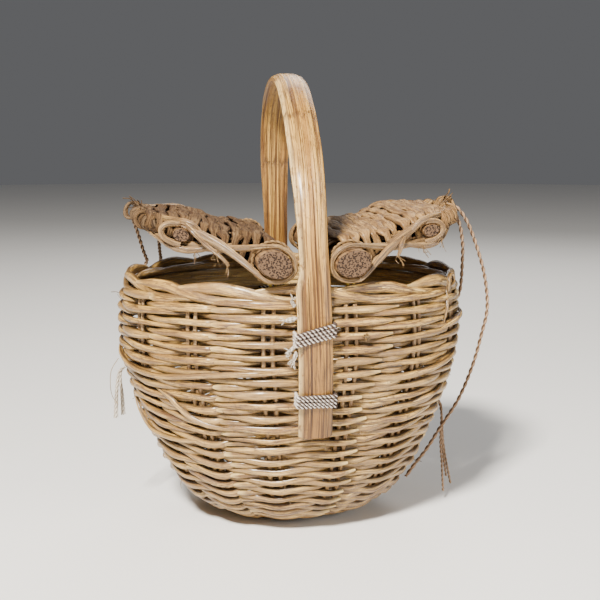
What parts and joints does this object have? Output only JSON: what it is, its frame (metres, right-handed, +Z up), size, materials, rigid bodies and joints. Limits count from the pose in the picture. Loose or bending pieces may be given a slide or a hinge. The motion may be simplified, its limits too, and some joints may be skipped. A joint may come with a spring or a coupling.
{
  "type": "lidded handle basket",
  "caption": "Small oval hand-woven cane basket with an arched strap handle and two woven lids hinged on bars at the middle.",
  "frame": {"origin": "on the ground under the middle of the base", "axes": "+Z up, +X to the right lid, +Y to the back"},
  "size_m": [0.1207, 0.0986, 0.1379],
  "materials": {
    "weave": "round straw-coloured cane strands, woven over and under, matt with a slight sheen",
    "cane": "split cane with brown streaks along the grain, satin",
    "bar": "round cane with dark pores in the cut ends, matt",
    "lid": "aged brown cane strips, matt",
    "thread": "white twisted thread with a dark strand",
    "tie": "yellow thread",
    "cord": "brown two-ply twisted cord"
  },
  "bodies": {
    "basket": {"base_weave": "weave", "wall_weave": "weave", "rim_border": "weave", "handle_strip": "cane", "stake_pair_01": "cane", "stake_pair_02": "cane", "stake_pair_03": "cane", "stake_pair_04": "cane", "stake_pair_05": "cane", "stake_pair_06": "cane", "stake_pair_07": "cane", "stake_pair_08": "cane", "stake_pair_09": "cane", "stake_pair_10": "cane", "stake_pair_11": "cane", "stake_pair_12": "cane", "stake_pair_13": "cane", "stake_pair_14": "cane", "front_upper_lashing": "thread", "front_lower_lashing": "thread", "rear_upper_lashing": "thread", "rear_lower_lashing": "thread", "left_front_tie": "tie", "left_rear_tie": "tie", "right_front_tie": "tie", "right_rear_tie": "tie", "right_tail_a": "cord", "right_tail_b": "cord", "right_tail_c": "cord", "left_tail_a": "thread", "left_tail_b": "thread"},
    "left_lid": {"left_hinge_bar": "bar", "left_outer_rod": "bar", "left_lid_weave": "lid", "left_front_binding": "lid", "left_rear_binding": "lid", "left_tip_loop": "lid", "left_cord_a": "cord", "left_cord_b": "cord"},
    "right_lid": {"right_hinge_bar": "bar", "right_outer_rod": "bar", "right_lid_weave": "lid", "right_front_binding": "lid", "right_rear_binding": "lid", "right_tip_loop": "lid", "right_free_cord": "cord", "right_tie_cord": "cord"}
  },
  "joints": [
    {"name": "left_lid_hinge", "type": "hinge", "parent": "basket", "child": "left_lid", "pos_m": [-0.0102, 0, 0.0842], "axis": [0, 1, 0], "range_deg": [-22, 73], "deforming": ["left_cord_a", "left_cord_b"]},
    {"name": "right_lid_hinge", "type": "hinge", "parent": "basket", "child": "right_lid", "pos_m": [0.0116, 0, 0.0842], "axis": [0, -1, 0], "range_deg": [-23, 72], "deforming": ["right_free_cord", "right_tie_cord"]}
  ]
}
